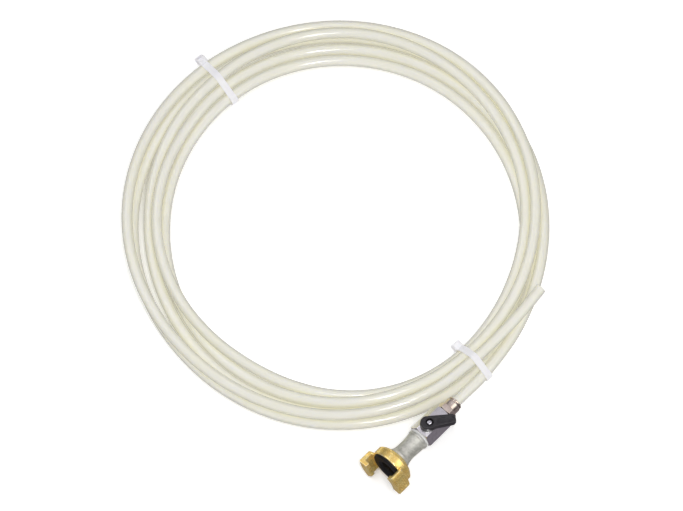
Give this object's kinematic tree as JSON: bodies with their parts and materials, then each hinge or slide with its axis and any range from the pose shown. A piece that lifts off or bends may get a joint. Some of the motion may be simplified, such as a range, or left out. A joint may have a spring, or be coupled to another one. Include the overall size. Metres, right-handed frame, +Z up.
{
  "type": "siphon transfer hose",
  "caption": "Coiled translucent siphon hose with a push-in fitting, hex mini ball valve and claw quick coupling, held by cable ties.",
  "frame": {"origin": "on the floor, at the middle of the whole coiled object seen from above", "axes": "+Z up out of the floor the coil lies on; +Y across the coil away from the valve end; +X to the side of the free hose end"},
  "size_m": [0.4623, 0.5473, 0.0521],
  "materials": {
    "hose_pvc": "milky translucent soft PVC, glossy",
    "nylon": "satin white nylon",
    "galvanised_iron": "hot-dip galvanised malleable iron, dull mottled zinc",
    "ptfe": "smooth white PTFE",
    "white_seal": "smooth white fibre ring",
    "brass": "cast and turned brass, satin",
    "black_rubber": "soft black rubber",
    "nickel_plate": "bright nickel plate",
    "chrome_ball": "mirror-polished chrome plate",
    "black_plastic": "fine-textured moulded black plastic",
    "steel": "bright zinc-plated steel",
    "fitting_nickel": "nickel plate with a warm brown reflection"
  },
  "bodies": {
    "hose_assembly": {"hose": "hose_pvc", "cable_tie_lower_right": "nylon", "cable_tie_upper_left": "nylon", "pipe_socket": "galvanised_iron", "coupling_thread_tape": "ptfe", "valve_thread_tape": "ptfe", "socket_seal_ring": "white_seal", "coupling_body": "brass", "coupling_seal": "black_rubber", "valve_body": "nickel_plate", "ball_seat_inlet": "ptfe", "ball_seat_outlet": "ptfe", "seat_retainer": "nickel_plate", "stem_thrust_washer": "ptfe", "fitting_body": "fitting_nickel", "fitting_seal_washer": "black_rubber", "tube_o_ring": "black_rubber", "grab_ring": "steel", "tube_support_sleeve": "fitting_nickel"},
    "valve_handle": {"valve_ball": "chrome_ball", "valve_stem": "nickel_plate", "stem_o_ring": "black_rubber", "lever": "black_plastic", "lever_washer": "steel", "lever_screw": "steel"},
    "release_collar": {"release_ring": "fitting_nickel"}
  },
  "joints": [
    {"name": "valve_lever_turn", "type": "hinge", "parent": "hose_assembly", "child": "valve_handle", "pos_m": [0.0998, -0.19771, 0.02303], "axis": [0.0426, 0.0197, 0.9989], "range_deg": [-53.5, 36.5]},
    {"name": "release_push", "type": "slide", "parent": "hose_assembly", "child": "release_collar", "axis": [-0.6864, -0.7259, 0.0436], "range_m": [0, 0.001]}
  ]
}
